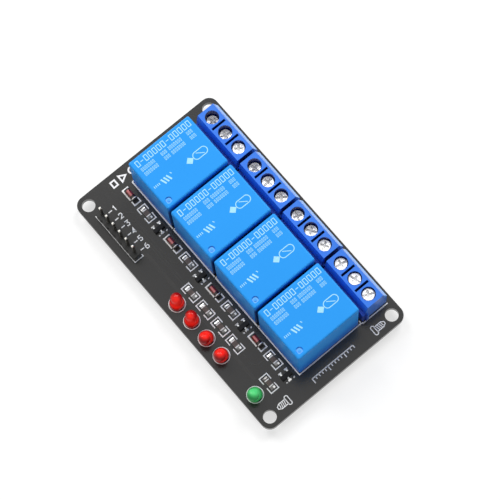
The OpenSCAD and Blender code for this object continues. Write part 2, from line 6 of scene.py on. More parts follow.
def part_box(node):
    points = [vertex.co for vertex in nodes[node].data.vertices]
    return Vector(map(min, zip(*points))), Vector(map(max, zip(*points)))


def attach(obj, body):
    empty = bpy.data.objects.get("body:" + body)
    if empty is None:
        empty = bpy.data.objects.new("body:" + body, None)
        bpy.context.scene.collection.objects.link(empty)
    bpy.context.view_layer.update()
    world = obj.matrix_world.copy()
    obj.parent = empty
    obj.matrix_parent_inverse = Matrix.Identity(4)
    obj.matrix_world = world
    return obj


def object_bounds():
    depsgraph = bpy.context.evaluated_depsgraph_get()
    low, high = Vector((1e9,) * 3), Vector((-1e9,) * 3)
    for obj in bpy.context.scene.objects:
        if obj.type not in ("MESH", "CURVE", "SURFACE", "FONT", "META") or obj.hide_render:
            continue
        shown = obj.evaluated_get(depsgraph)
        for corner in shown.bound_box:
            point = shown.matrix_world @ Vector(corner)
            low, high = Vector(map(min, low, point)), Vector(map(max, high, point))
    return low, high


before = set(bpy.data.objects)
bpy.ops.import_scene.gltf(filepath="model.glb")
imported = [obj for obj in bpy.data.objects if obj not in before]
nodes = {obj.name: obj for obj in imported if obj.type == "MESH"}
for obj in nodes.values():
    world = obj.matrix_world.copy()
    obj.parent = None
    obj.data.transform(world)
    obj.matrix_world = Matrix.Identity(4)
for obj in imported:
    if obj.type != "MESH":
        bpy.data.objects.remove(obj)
cad_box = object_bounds()
MM = 0.001


# ---- studio ---------------------------------------------------------------------------
# The board lies on a white table in a white room, seen steeply from above its lamp corner
# through a long lens. Two softboxes light it, one past its left end and one past the
# terminals. The room fills the shade, and the table's own glow keeps the shadow pale.

class Value:
    """A number inside a material: + - * and > on it add the Math nodes that work it out."""

    def __init__(self, look, socket):
        self.look, self.socket = look, socket

    def math(self, operation, first, second=0.0):
        return self.look.node("ShaderNodeMath", {"operation": operation}, {0: first, 1: second})

    def __add__(self, other):
        return self.math("ADD", self, other)

    def __sub__(self, other):
        return self.math("SUBTRACT", self, other)

    def __rsub__(self, other):
        return self.math("SUBTRACT", other, self)

    def __mul__(self, other):
        return self.math("MULTIPLY", self, other)

    def __gt__(self, other):
        return self.math("GREATER_THAN", self, other)

    __radd__, __rmul__ = __add__, __mul__


class Look:
    """A material, or a world, that is put together node by node and ends in one surface."""

    def __init__(self, name, made_in=bpy.data.materials, outlet="ShaderNodeOutputMaterial"):
        self.material, self.outlet = made_in.new(name), outlet
        self.material.use_nodes = True
        self.tree = self.material.node_tree
        self.tree.nodes.clear()
        self.spot = self.node("ShaderNodeTexCoord", {}, {}, "Object")

    def node(self, kind, settings, sockets, output=0):
        """Adds one node: its settings first, then the value or the link of each socket."""
        made = self.tree.nodes.new(kind)
        for key, setting in settings.items():
            setattr(made, key, setting)
        for key, value in sockets.items():
            if isinstance(value, Value):
                self.tree.links.new(value.socket, made.inputs[key])
            else:
                made.inputs[key].default_value = value
        return Value(self, made.outputs[output]) if made.outputs else made

    def noise(self, scale, detail=3.0):
        """Cloudy values round 0.5, with blots about 1/scale metres across."""
        return self.node("ShaderNodeTexNoise", {}, {"Vector": self.spot, "Scale": scale,
                                                    "Detail": detail})

    def place(self, letter):
        """Where a point lies along X, Y or Z, in metres."""
        return self.node("ShaderNodeSeparateXYZ", {}, {"Vector": self.spot}, letter)

    def axis(self, letter, low, high):
        """How far along X, Y or Z a point lies: 0 at low and 1 at high, in metres."""
        ends = {"Value": self.place(letter), "From Min": low, "From Max": high}
        return self.node("ShaderNodeMapRange", {}, ends)

    def within(self, letter, low, high, pitch=1.0):
        """1 from low to high along X, Y or Z, in metres, and again after each pitch; 0 elsewhere."""
        past = self.place(letter) - low
        past = self.node("ShaderNodeMath", {"operation": "WRAP"}, {0: past, 1: pitch, 2: 0.0})
        return 1 - (past > high - low)

    def blend(self, share, low, high):
        """Colour that goes from low to high as share goes from 0 to 1."""
        low, high = (colour if isinstance(colour, Value) else (*colour, 1.0)
                     for colour in (low, high))
        return self.node("ShaderNodeMix", {"data_type": "RGBA"}, {0: share, 6: low, 7: high}, 2)

    def bump(self, height, depth):
        """Normal of the surface once a height from 0 to 1 raises it by up to depth metres."""
        return self.node("ShaderNodeBump", {}, {"Height": height, "Distance": depth}, "Normal")

    def end(self, surface):
        """Makes this surface the material's own."""
        self.node(self.outlet, {}, {"Surface": surface})
        return self.material

    def principled(self, **sockets):
        """Ends in a Principled surface; a socket's name is written with _ for each space."""
        named = {key.replace("_", " "): value for key, value in sockets.items()}
        return self.end(self.node("ShaderNodeBsdfPrincipled", {}, named))


scene = bpy.context.scene
scene.view_settings.view_transform = "Standard"

EYE = Vector((0.11946, -0.07343, 0.52526))
AIM = Vector((-0.22112, 0.14267, -0.96475))
UP = Vector((-0.73384, 0.62720, 0.26095))
camera_data = bpy.data.cameras.new("long_lens")
camera_data.sensor_width = 36.0
camera_data.lens = 156.8
camera = bpy.data.objects.new("long_lens", camera_data)
turned = Matrix((AIM.cross(UP), UP, -AIM)).transposed().to_4x4()
camera.matrix_world = Matrix.Translation(EYE) @ turned
scene.collection.objects.link(camera)
scene.camera = camera


LAMP_SIZE, LAMP_WATTS = 0.45, 4.7


def add_lamp(name, place):
    """A square area lamp at place, turned to face the middle of the board."""
    data = bpy.data.lights.new(name, "AREA")
    data.size, data.energy = LAMP_SIZE, LAMP_WATTS
    lamp = bpy.data.objects.new(name, data)
    turned = Vector(place).to_track_quat("Z", "Y").to_matrix().to_4x4()
    lamp.matrix_world = Matrix.Translation(place) @ turned
    scene.collection.objects.link(lamp)


add_lamp("left_softbox", (-0.66, -0.02, 0.75))
add_lamp("terminal_side_softbox", (-0.22, 0.61, 0.76))


def seen_or_lit(look, seen, lit):
    """Surface that looks like seen to the eye, in a reflection and through clear plastic, while it
    lights things as lit."""
    rays = [look.node("ShaderNodeLightPath", {}, {}, "Is %s Ray" % kind)
            for kind in ("Camera", "Glossy", "Transmission")]
    return look.node("ShaderNodeMixShader", {}, {0: sum(rays[1:], rays[0]), 1: lit, 2: seen})


WHITE = (1.0, 1.0, 1.0, 1.0)
room = Look("white_room", bpy.data.worlds, "ShaderNodeOutputWorld")
bright_room, dim_room = (
    room.node("ShaderNodeBackground", {}, {"Color": WHITE, "Strength": strength})
    for strength in (1.0, 0.35))
scene.world = room.end(seen_or_lit(room, bright_room, dim_room))

table_look = Look("white_table")
paper, shaded = (table_look.node("ShaderNodeBsdfDiffuse", {}, {"Color": (grey, grey, grey, 1.0)})
                 for grey in (0.68, 0.45))
glow = table_look.node("ShaderNodeEmission", {}, {"Color": WHITE, "Strength": 0.62})
glowing = table_look.node("ShaderNodeAddShader", {}, {0: shaded, 1: glow})
table_look.end(seen_or_lit(table_look, glowing, paper))
TABLE_SPAN = 3.0
table_mesh = bpy.data.meshes.new("table")
corners = TABLE_SPAN / 2 * np.array([[-1, -1], [1, -1], [1, 1], [-1, 1]])
corners = np.column_stack([corners, np.full(4, cad_box[0][2])])
table_mesh.from_pydata(corners.tolist(), [], [[0, 1, 2, 3]])
table_mesh.materials.append(table_look.material)
table = bpy.data.objects.new("table", table_mesh)
scene.collection.objects.link(table)


# ---- circuit board --------------------------------------------------------------------
# Glass-fibre laminate under a glossy black solder mask. Copper tracks on both faces stand
# out under the mask, and every pin has a round tinned pad on the under face. The routed edge
# shows the bare laminate.

def dress(look_material, *names):
    """Gives CAD nodes this material in place of their own."""
    for name in names:
        for slot in nodes[name].material_slots:
            slot.material = look_material


def each(pattern, count):
    """Names of a family of nodes, numbered from 1."""
    return [pattern % number for number in range(1, count + 1)]


def skin(rings, closed=False):
    """Closed skin through a stack of n rings of m points each (an n x m x 3 array): a quad from
    each side of a ring to the same side of the next one, and a flat cap on each end ring, or none
    where the last ring joins the first. Rings run counter-clockwise as seen from where the stack
    leads."""
    count, sides = rings.shape[:2]
    here = np.arange(count * sides).reshape(count, sides)
    if closed:
        here = np.vstack([here, here[:1]])
    beside = np.roll(here, -1, axis=1)
    quads = np.stack([here[:-1], beside[:-1], beside[1:], here[1:]], axis=-1).reshape(-1, 4)
    caps = [] if closed else [here[:1, ::-1], here[-1:]]
    return rings.reshape(-1, 3), [quads] + caps


def level(points, z):
    """Points (x, y) put at height z."""
    return np.column_stack([points, np.full(len(points), z)])


def bar(path, width, low, high, closed=False):
    """Flat bar of this width along points (x, y), from height low to high. Its edges stand off
    each point along the mitre: the sum of the unit normals of the two stretches that meet there,
    over one plus their dot product, times half the width."""
    path = np.asarray(path, float)
    step = np.roll(path, -1, axis=0) - path
    if not closed:
        step[-1] = step[-2]
    step /= np.linalg.norm(step, axis=1)[:, None]
    normal = np.column_stack([-step[:, 1], step[:, 0]])
    before = np.roll(normal, 1, axis=0)
    if not closed:
        before[0] = normal[0]
    mitre = width / 2 * (normal + before) / (1 + (normal * before).sum(axis=1))[:, None]
    left, right = path + mitre, path - mitre
    edges = [(left, low), (left, high), (right, high), (right, low)]
    return skin(np.stack([level(edge, z) for edge, z in edges], axis=1), closed)


def plate(outline, low, high):
    """Flat plate inside an outline of points (x, y), given counter-clockwise."""
    return skin(np.stack([level(outline, z) for z in (low, high)]))


def circle(x, y, radius, count=24):
    """Points round a circle: centre plus radius times the cosine and sine of equal turns."""
    turn = np.arange(count) * 2 * np.pi / count
    return np.column_stack([x + radius * np.cos(turn), y + radius * np.sin(turn)])


def rectangle(x, y, length, width):
    """Corners of a rectangle round (x, y), counter-clockwise."""
    return [(x - length / 2, y - width / 2), (x + length / 2, y - width / 2),
            (x + length / 2, y + width / 2), (x - length / 2, y + width / 2)]


board_low, board_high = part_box("circuit_board")
FACE = np.array([board_low.x, board_low.y, board_high.z])
SHARP = np.radians(35)


def piece(name, shapes, look_material, body="board"):
    """One mesh of shapes whose millimetres count from the board's header corner and upper face."""
    starts = np.cumsum([0] + [len(points) for points, _ in shapes])
    faces = [array + start for start, (_, arrays) in zip(starts, shapes) for array in arrays]
    loops = np.concatenate([array.ravel() for array in faces])
    sizes = np.concatenate([np.full(len(array), array.shape[1]) for array in faces])
    mesh = bpy.data.meshes.new(name)
    mesh.vertices.add(starts[-1])
    places = np.concatenate([points for points, _ in shapes]) * MM + FACE
    mesh.vertices.foreach_set("co", places.ravel())
    mesh.loops.add(len(loops))
    mesh.loops.foreach_set("vertex_index", loops)
    mesh.polygons.add(len(sizes))
    mesh.polygons.foreach_set("loop_start", np.cumsum(sizes) - sizes)
    mesh.update(calc_edges=True)
    mesh.materials.append(look_material)
    made = bpy.data.objects.new(name, mesh)
    scene.collection.objects.link(made)
    mesh.shade_smooth()
    mesh.set_sharp_from_angle(angle=SHARP)
    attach(made, body)
    return made


CHANNELS = 4
BOARD_L = (board_high.x - board_low.x) / MM
BOARD_T = (board_high.z - board_low.z) / MM
case_low, case_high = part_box("relay_case_1")
RELAY_X = (case_low.x - board_low.x) / MM
RELAY_Y = (case_low.y - board_low.y) / MM
RELAY_W = (case_high.x - case_low.x) / MM
RELAY_L = (case_high.y - case_low.y) / MM
PITCH = (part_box("relay_case_2")[0].x - case_low.x) / MM
channel_x = RELAY_X + PITCH * np.arange(CHANNELS)
centre_x = channel_x + RELAY_W / 2

COM_Y, COIL_Y, CONTACT_Y = RELAY_Y + 2.45, RELAY_Y + 4.45, RELAY_Y + RELAY_L - 2.45
COIL_X = RELAY_W / 2 - 1.7
HEADER_X, HEADER_Y, HEADER_PITCH, HEADER_PINS = 7.6, 3.65, 2.54, 6
LAMP_Y, LEAD_HALF = 3.55, 1.27
lamp_x = np.array([36.8, 42.5, 48.2, 53.9, 66.75])
POLE_PITCH, POLE_SHIFT = 5.08, 0.15
cage_low, cage_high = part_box("terminal_cages")
POLE_Y = ((cage_low.y + cage_high.y) / 2 - board_low.y) / MM - 0.3
DRIVER_Y = RELAY_Y - 2.65
TRANSISTOR_X, DRIVER_R_X, DIODE_X = 13.75, 8.62, 2.4
header_x = HEADER_X + HEADER_PITCH * np.arange(HEADER_PINS)
pole_x = (centre_x[:, None] + POLE_SHIFT + POLE_PITCH * np.array([-1, 0, 1])).ravel()

SMALL_PAD, RELAY_PAD, POLE_PAD = 0.85, 1.2, 1.25
PAD_UP, PAD_SUNK = 0.035, 0.3
RELAY_FEET = [(0, COM_Y), (-COIL_X, COIL_Y), (COIL_X, COIL_Y),
              (-COIL_X, CONTACT_Y), (COIL_X, CONTACT_Y)]
THROUGH_PINS = [(x, HEADER_Y, SMALL_PAD) for x in header_x]
THROUGH_PINS += [(x + side * LEAD_HALF, LAMP_Y, SMALL_PAD) for x in lamp_x for side in (-1, 1)]
THROUGH_PINS += [(x + dx, y, RELAY_PAD) for x in centre_x for dx, y in RELAY_FEET]
THROUGH_PINS += [(x, POLE_Y, POLE_PAD) for x in pole_x]
pads = [plate(circle(x, y, radius), -BOARD_T - PAD_UP, -BOARD_T + PAD_SUNK)
        for x, y, radius in THROUGH_PINS]

TRACK_UP, TRACK_SUNK = 0.03, 0.1
SIGNAL, POWER, MAINS = 0.35, 0.9, 2.6


def track(path, width, under=False):
    """Copper track on the upper face, or on the under face."""
    if under:
        return bar(path, width, -BOARD_T - TRACK_UP, -BOARD_T + TRACK_SUNK)
    return bar(path, width, -TRACK_SUNK, TRACK_UP)


tracks = []
for channel in range(CHANNELS):
    left, middle = channel_x[channel], centre_x[channel]
    base = left + TRANSISTOR_X - 1.0
    resistor = left + DRIVER_R_X
    pin = header_x[channel + 1]
    lane = 9.9 - 0.7 * channel
    tracks += [
        track([(pin, HEADER_Y), (pin, lane - 1.2), (pin + 1.2, lane), (resistor - 2.6, lane),
               (resistor - 1.4, lane + 1.0), (resistor - 1.4, DRIVER_Y)], SIGNAL),
        track([(resistor + 1.2, DRIVER_Y), (resistor + 1.9, DRIVER_Y + 0.95),
               (base, DRIVER_Y + 0.95)], SIGNAL),
        track([(left + TRANSISTOR_X + 1.0, DRIVER_Y), (left + TRANSISTOR_X + 1.0, RELAY_Y + 1.2),
               (middle + COIL_X, RELAY_Y + 2.4), (middle + COIL_X, COIL_Y)], POWER),
        track([(left + DIODE_X - 1.7, DRIVER_Y), (middle - COIL_X, DRIVER_Y + 1.6),
               (middle - COIL_X, COIL_Y)], POWER),
        track([(middle, COM_Y), (middle, RELAY_Y + 15.0), (middle + POLE_SHIFT, RELAY_Y + 17.0),
               (middle + POLE_SHIFT, POLE_Y)], MAINS, under=True),
    ]
    for side in (-1, 1):
        pole = middle + side * POLE_PITCH + POLE_SHIFT
        tracks.append(track([(middle + side * COIL_X, CONTACT_Y), (pole, CONTACT_Y + 2.2),
                             (pole, POLE_Y)], MAINS, under=True))
tracks += [
    track([(header_x[0], HEADER_Y), (header_x[0], 1.5), (BOARD_L - 10.6, 1.5), (BOARD_L - 9.2, 2.9)],
          POWER, under=True),
    track([(header_x[-1], HEADER_Y), (header_x[-1] + 2.2, 5.9), (BOARD_L - 12.0, 5.9)], POWER),
    track([(header_x[-1] + 2.2, 10.6), (channel_x[-1] + DIODE_X, 10.6)], POWER, under=True),
]

mask = Look("solder_mask")
grain, cloud = mask.noise(2500.0), mask.noise(60.0)
edge_band = mask.node("ShaderNodeTexNoise", {}, {
    "Vector": mask.spot, "Scale": 900.0, "Detail": 1.0, "Distortion": 1.5})
normal = mask.node("ShaderNodeNewGeometry", {}, {}, "Normal")
upright = mask.node("ShaderNodeSeparateXYZ", {}, {"Vector": normal}, "Z")
wall = 1 - mask.node("ShaderNodeMath", {"operation": "ABSOLUTE"}, {0: upright})
flat_colour = mask.blend(cloud * 0.6 + grain * 0.3, (0.008, 0.008, 0.008), (0.02, 0.019, 0.018))
mask_colour = mask.blend((wall > 0.5) * (0.35 + edge_band * 0.4), flat_colour, (0.11, 0.095, 0.07))
dress(mask.principled(Base_Color=mask_colour, Roughness=0.15 + grain * 0.06, Specular_IOR_Level=0.6,
                      Normal=mask.bump(grain, 0.00002)), "circuit_board")

copper = Look("masked_copper")
shine = copper.noise(700.0)
copper_finish = copper.principled(
    Base_Color=copper.blend(shine, (0.013, 0.013, 0.012), (0.026, 0.024, 0.022)),
    Roughness=0.15 + shine * 0.08, Specular_IOR_Level=0.6, Normal=copper.bump(shine, 0.00002))
piece("board_tracks", tracks, copper_finish)

tin = Look("tinned_pad")
blot = tin.noise(1400.0)
tin_finish = tin.principled(
    Base_Color=tin.blend(blot, (0.72, 0.72, 0.70), (0.9, 0.9, 0.88)), Metallic=1.0,
    Roughness=0.22 + blot * 0.25, Normal=tin.bump(blot, 0.00004))
piece("pin_pads", pads, tin_finish)


# ---- silk print -----------------------------------------------------------------------
# White epoxy ink, screened on the mask a few hundredths of a millimetre thick: outlines of
# the parts, numbers at the header pins, a scale along one end, three plain shapes at the
# other and two screw signs by the holes.

INK_LOW, INK_UP = 0.01, 0.045
FINE, BOLD = 0.28, 0.34


def ink(path, width=FINE, closed=False):
    """Line of print on the upper face of the board."""
    return bar(path, width, INK_LOW, INK_UP, closed)


print_marks = []
block_low, block_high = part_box("terminal_body_1")
BLOCK_BACK = (block_high.y - board_low.y) / MM
FRAME_Y, FRAME_END = RELAY_Y - 0.2, channel_x[-1] + RELAY_W + 0.25
FRAME_TOP = RELAY_Y + RELAY_L + 0.6
for x in channel_x[1:]:
    print_marks += [ink([(x - PITCH - 0.12, FRAME_Y), (x - 0.42, FRAME_Y)], BOLD),
                    ink([(x - 0.12, FRAME_Y), (x - 0.12, FRAME_Y + 0.7)])]
print_marks += [
    ink([(channel_x[0] - 0.12, FRAME_Y), (channel_x[0] - 0.12, BLOCK_BACK - 0.6)]),
    ink([(channel_x[-1] - 0.12, FRAME_Y), (FRAME_END, FRAME_Y), (FRAME_END, FRAME_TOP),
         (FRAME_END - 0.85, FRAME_TOP)], 0.3),
    ink([(FRAME_END, FRAME_TOP + 0.3), (FRAME_END + 0.3, FRAME_TOP + 0.3),
         (FRAME_END + 0.3, BLOCK_BACK + 0.1)], 0.26),
    ink([(header_x[0] - 1.46, HEADER_Y - 1.28), (header_x[-1] + 1.5, HEADER_Y - 1.28),
         (header_x[-1] + 1.5, HEADER_Y + 1.3), (header_x[-1] + 0.9, HEADER_Y + 1.3)], 0.24),
]


def split_box(x, y, length, width, gap):
    """Outline of a chip: two facing brackets, with a gap in the middle of each long side."""
    return [ink([(x + side * gap, y + width / 2), (x + side * length / 2, y + width / 2),
                 (x + side * length / 2, y - width / 2), (x + side * gap, y - width / 2)])
            for side in (-1, 1)]


CHIP_Y = 7.95
for x in lamp_x:
    print_marks += split_box(x, CHIP_Y, 4.62, 2.33, 0.6)
    print_marks.append(ink(circle(x, LAMP_Y, 2.08, 40), 0.22, closed=True))
for x in channel_x:
    print_marks += split_box(x + DRIVER_R_X, DRIVER_Y, 4.58, 2.35, 0.6)
    diode = x + DIODE_X
    print_marks += [
        ink([(diode - 2.2, DRIVER_Y + 0.9), (diode - 2.2, DRIVER_Y - 0.93),
             (diode + 1.0, DRIVER_Y - 0.93)], 0.38),
        ink([(diode + 1.45, DRIVER_Y + 0.93), (diode + 2.7, DRIVER_Y + 0.93),
             (diode + 2.7, DRIVER_Y - 0.93), (diode + 1.45, DRIVER_Y - 0.93)], BOLD),
    ]
    corner = x + TRANSISTOR_X + 1.3
    print_marks += [ink([(corner, DRIVER_Y + side * 1.3), (corner + 0.2, DRIVER_Y + side * 1.15),
                         (corner + 0.25, DRIVER_Y + side * 0.9)]) for side in (-1, 1)]

FIGURES = {
    1: [(0.15, 0.75), (0.55, 1), (0.55, 0)],
    2: [(0, 0.78), (0.2, 1), (0.8, 1), (1, 0.78), (1, 0.6), (0, 0.02), (1, 0)],
    3: [(0, 1), (1, 1), (0.5, 0.6), (0.85, 0.55), (1, 0.3), (0.8, 0), (0.2, 0), (0, 0.18)],
    4: [(0.75, 0), (0.75, 1), (0, 0.3), (1, 0.28)],
    5: [(0.95, 1), (0.1, 1), (0, 0.55), (0.7, 0.6), (1, 0.35), (0.8, 0), (0.2, 0), (0, 0.15)],
    6: [(0.85, 1), (0.3, 0.9), (0, 0.5), (0, 0.2), (0.2, 0), (0.8, 0), (1, 0.2), (0.95, 0.45),
        (0.7, 0.58), (0.1, 0.52)],
}
FIGURE_H, FIGURE_W, FIGURE_Y = 1.35, 0.85, 6.9
for figure, x in enumerate(header_x, 1):
    across, up = np.array(FIGURES[figure]).T
    strokes = np.column_stack([x + FIGURE_H * (0.5 - up), FIGURE_Y + FIGURE_W * across])
    print_marks += [ink(strokes, 0.25), ink([(x, HEADER_Y + 1.75), (x, FIGURE_Y - 0.45)])]

SCALE_X, SCALE_Y, SCALE_STEPS = 72.75, 16.7, 13
print_marks.append(ink([(SCALE_X, SCALE_Y), (SCALE_X, SCALE_Y + SCALE_STEPS)]))
for step in range(SCALE_STEPS + 1):
    reach = 1.35 if step in (0, 5, 10) else 0.8
    print_marks.append(ink([(SCALE_X, SCALE_Y + step), (SCALE_X + reach, SCALE_Y + step)]))

SIGN_X = 2.6
print_marks += [
    ink(rectangle(SIGN_X, 11.2, 1.6, 1.3), 0.42, closed=True),
    ink([(SIGN_X - 0.95, 13.2), (SIGN_X + 0.95, 13.2), (SIGN_X, 14.9)], 0.42, closed=True),
    ink(circle(SIGN_X, 16.9, 0.85, 20), 0.42, closed=True),
]


def screw_sign(x, y, way):
    """A screw from the side, with its head at y and its tip 3.7 mm off in the given way."""
    head = [(1.0, 0.95), (1.25, 0.7), (1.25, 0.3), (1.0, 0.05),
            (-1.0, 0.05), (-1.25, 0.3), (-1.25, 0.7), (-1.0, 0.95)]
    shank = [(0.72, 0.05), (0.72, -1.95), (0.3, -2.7), (-0.3, -2.7), (-0.72, -1.95), (-0.72, 0.05)]
    marks = [ink([(x + u, y - way * v) for u, v in head], 0.24, closed=True),
             ink([(x + u, y - way * v) for u, v in shank], 0.24)]
    for turn in (0.5, 1.0, 1.5, 2.0):
        marks.append(ink([(x - 0.62, y + way * (turn - 0.15)),
                          (x + 0.62, y + way * (turn + 0.15))], 0.2))
    return marks


print_marks += screw_sign(72.95, 8.35, -1) + screw_sign(73.45, 36.7, 1)

silk = Look("silk_ink")
speck = silk.noise(3500.0)
silk_finish = silk.principled(
    Base_Color=silk.blend(speck, (0.88, 0.88, 0.88), (1.0, 1.0, 1.0)),
    Roughness=0.55 + speck * 0.15, Normal=silk.bump(speck, 0.00002))
piece("silk_print", print_marks, silk_finish)


# ---- relay covers ---------------------------------------------------------------------
# Thin moulded shells of blue engineering plastic, glued down over the base. Painted shade darkens them
# towards the foot and on the walls that face each other across the gaps, and a painted highlight
# lightens the vent recess. Pad print in pale ink: cells and bars where ratings go, a ring and a diamond
# for the signs.

def satin(look, dark, light):
    """Colour of moulded plastic, between two close ones, and the fine orange-peel of its mould."""
    flow, peel = look.noise(90.0), look.noise(1800.0)
    return look.blend(flow * 0.7 + peel * 0.3, dark, light), peel


PEEL_UP = 0.00001
cover = Look("relay_blue")
blue, peel = satin(cover, (0.028, 0.33, 0.9), (0.034, 0.37, 0.98))
# Painted shade: the covers darken towards the foot.
blue = cover.blend(cover.axis("Z", case_low.z, case_low.z + 8.0 * MM), (0.006, 0.17, 0.85), blue)
LAST_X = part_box("relay_case_4")[0].x
GAP_END = case_high.x + (PITCH - RELAY_W) * MM
# Painted shade on the walls that face each other across the gaps, below their top edges; the last
# cover's outer wall is left out.
painted_gap_shade = cover.within("X", case_high.x - 0.3 * MM, GAP_END + 0.3 * MM, PITCH * MM)
painted_gap_shade *= 1 - cover.axis("X", LAST_X + 1.0 * MM, LAST_X + 2.0 * MM)
painted_gap_shade *= 1 - cover.axis("Z", case_high.z - 4.0 * MM, case_high.z - 1.0 * MM)
blue = cover.blend(painted_gap_shade, blue, (0.002, 0.05, 0.25))
# Painted highlight: the floor of the vent recess is painted paler.
painted_vent_highlight = cover.within("X", case_high.x - 2.4 * MM, case_high.x - 1.0 * MM, PITCH * MM)
painted_vent_highlight *= cover.within("Y", case_low.y + 1.0 * MM, case_low.y + 2.4 * MM)
painted_vent_highlight *= 1 - cover.axis("Z", case_high.z - 0.2 * MM, case_high.z - 0.1 * MM)
painted_vent_highlight *= cover.axis("Z", case_high.z - 0.6 * MM, case_high.z - 0.5 * MM)
cover_finish = cover.principled(
    Base_Color=cover.blend(painted_vent_highlight, blue, (0.2, 0.55, 1.0)), Roughness=0.3 + peel * 0.1,
    Specular_IOR_Level=0.07, Normal=cover.bump(peel, PEEL_UP))
dress(cover_finish, *each("relay_case_%d", CHANNELS))

COVER_TOP = (case_high.z - board_high.z) / MM
STAMP_LOW, STAMP_HIGH = COVER_TOP - 0.02, COVER_TOP + 0.02


def stamp(path, width, closed=False):
    """Line of pad print on top of a cover."""
    return bar(path, width, STAMP_LOW, STAMP_HIGH, closed)


def cells(x, y, rows, size, gap, width):
    """Column of small open boxes from y downwards, one for each 1 in rows, a bar for each 0."""
    marks = []
    length, height = size
    middle = x + length / 2
    for place, full in enumerate(rows):
        low = y - place * (height + gap) - height
        marks.append(stamp(rectangle(middle, low + height / 2, *size), width, closed=True) if full
                     else stamp([(middle, low), (middle, low + height)], width))
    return marks


relay_marks = []
ring = circle(9.4, 15.2, 1.0, 32)
ring[:16, 1] += 1.05
ring[16:, 1] -= 1.05
for x0 in channel_x:
    group = cells(0.95, 18.1, [1, 1, 1, 1, 1, 0, 1, 1, 1, 1, 1, 0, 1], (1.5, 0.8), 0.53, 0.2)
    for y, count in ((17.3, 3), (13.9, 7), (9.2, 3), (5.4, 7)):
        for x in (3.15, 4.55):
            group += cells(x, y, [1] * count, (0.85, 0.28), 0.32, 0.1)
    group += [stamp(ring, 0.22, closed=True), stamp([(8.75, 14.3), (10.05, 16.1)], 0.2)]
    group += [plate([(8.4, 12.0), (9.4, 10.9), (10.4, 12.0), (9.4, 13.1)], STAMP_LOW, STAMP_HIGH)]
    group += [stamp([(8.45, y), (10.05, y + 0.55)], 0.42) for y in (3.5, 4.35, 5.2)]
    group += [stamp([(8.75, y), (9.35, y)], 0.2) for y in (1.1, 1.6, 2.1, 2.6)]
    group.append(stamp([(8.4, 6.35), (8.9, 6.6)], 0.22))
    relay_marks += [(points + [x0, RELAY_Y, 0], faces) for points, faces in group]
stamp_ink = Look("stamp_ink")
worn = stamp_ink.noise(2200.0)
stamp_finish = stamp_ink.principled(
    Base_Color=stamp_ink.blend(worn, (0.26, 0.66, 0.92), (0.5, 0.88, 1.0)),
    Roughness=0.45 + worn * 0.15, Normal=stamp_ink.bump(worn, 0.00002))
piece("relay_print", relay_marks, stamp_finish)


# ---- relay works ----------------------------------------------------------------------
# Under each cover: a dark base with tinned pins and contacts, a nickel-plated yoke, core
# and armature, and a coil of enamelled copper wire on a natural moulded bobbin.

def moulded(name, dark, light, rough, gloss=0.3):
    """Plain moulded plastic with the given roughness and gloss."""
    look = Look(name)
    colour, peel = satin(look, dark, light)
    return look.principled(Base_Color=colour, Roughness=rough + peel * 0.1, Specular_IOR_Level=gloss,
                           Normal=look.bump(peel, PEEL_UP))


dress(moulded("relay_base_plastic", (0.016, 0.02, 0.026), (0.026, 0.032, 0.04), 0.45),
      "relay_bases")
dress(moulded("bobbin_plastic", (0.62, 0.6, 0.52), (0.74, 0.72, 0.64), 0.5), "relay_bobbins")


def plated(name, dark, light, rough, spread):
    """Plated metal: two close tints, and a sheen that varies from spot to spot."""
    look = Look(name)
    spot, smear = look.noise(1200.0), look.noise(200.0)
    return look.principled(
        Base_Color=look.blend(spot * 0.5 + smear * 0.5, dark, light), Metallic=1.0,
        Roughness=rough + smear * spread, Normal=look.bump(spot, 0.00002))


dress(plated("soft_iron", (0.42, 0.42, 0.43), (0.6, 0.6, 0.61), 0.3, 0.2),
      "relay_yokes", "relay_cores", *each("relay_armature_%d", CHANNELS))
dress(plated("contact_bronze", (0.7, 0.6, 0.42), (0.84, 0.74, 0.55), 0.25, 0.2), "relay_pins")

winding = Look("enamelled_wire")
turns = winding.node("ShaderNodeTexWave", {"bands_direction": "Z"}, {
    "Vector": winding.spot, "Scale": 350.0, "Distortion": 0.6, "Detail": 1.0})
dress(winding.principled(Base_Color=winding.blend(turns, (0.3, 0.07, 0.02), (0.72, 0.26, 0.1)),
                         Metallic=0.6, Roughness=0.25 + turns * 0.1, Coat_Weight=0.5,
                         Normal=winding.bump(turns, 0.00006)), "relay_windings")


# ---- terminal housings ----------------------------------------------------------------
# Blue glass-filled plastic blocks, moulded in one piece with their wells and wire openings, dovetailed
# side by side and held by their soldered pins. The mould leaves a satin skin. Painted shade darkens the
# wells and the lower wall that faces the relays, and a painted highlight lightens the front slope.

housing = Look("terminal_blue")
blue, peel = satin(housing, (0.035, 0.18, 0.74), (0.05, 0.235, 0.84))
# Painted shade on the lower part of the wall that faces the relays.
painted_rear_shade = housing.within("Y", block_low.y - 0.2 * MM, block_low.y + 1.2 * MM)
painted_rear_shade *= 1 - housing.axis("Z", block_high.z - 5.2 * MM, block_high.z - 0.5 * MM)
blue = housing.blend(painted_rear_shade, blue, (0.01, 0.06, 0.42))
WELL_Y, WELL_R = block_low.y + 3.95 * MM, 2.1 * MM
# Painted shade down in the screw wells.
painted_well_shade = housing.within("X", board_low.x + pole_x[0] * MM - WELL_R,
                       board_low.x + pole_x[-1] * MM + WELL_R)
painted_well_shade *= housing.within("Y", WELL_Y - WELL_R, WELL_Y + WELL_R)
painted_well_shade *= 1 - housing.axis("Z", block_high.z - 0.7 * MM, block_high.z - 0.1 * MM)
blue = housing.blend(painted_well_shade, blue, (0.006, 0.035, 0.24))
